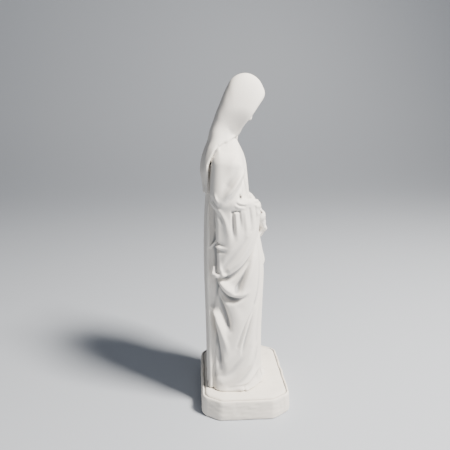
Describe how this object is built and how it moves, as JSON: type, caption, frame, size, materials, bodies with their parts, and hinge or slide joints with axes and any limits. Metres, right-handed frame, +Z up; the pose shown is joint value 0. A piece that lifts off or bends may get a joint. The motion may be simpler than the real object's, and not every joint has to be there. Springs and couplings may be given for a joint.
{
  "type": "madonna statue",
  "caption": "Standing veiled Madonna in unpainted cast plaster, head bowed and hands folded over wide sleeves, on an eight-sided plinth with a raised rim.",
  "frame": {"origin": "centre of the plinth's underside, where the statue stands", "axes": "+Z up along the figure; the figure faces -Y; its own right hand is towards -X"},
  "size_m": [0.099, 0.082, 0.2995],
  "materials": {
    "plaster": "matte",
    "iron_wire": "satin"
  },
  "bodies": {
    "root": {"plinth": "plaster", "ground_slab": "plaster", "skirt": "plaster", "bodice": "plaster", "mantle": "plaster", "veil": "plaster", "head": "plaster", "right_sleeve": "plaster", "left_sleeve": "plaster", "right_hand": "plaster", "left_hand": "plaster", "right_foot": "plaster", "left_foot": "plaster", "rod_anchor": "plaster", "armature_rod": "iron_wire", "right_wrist_pin": "iron_wire", "left_wrist_pin": "iron_wire"}
  },
  "joints": []
}
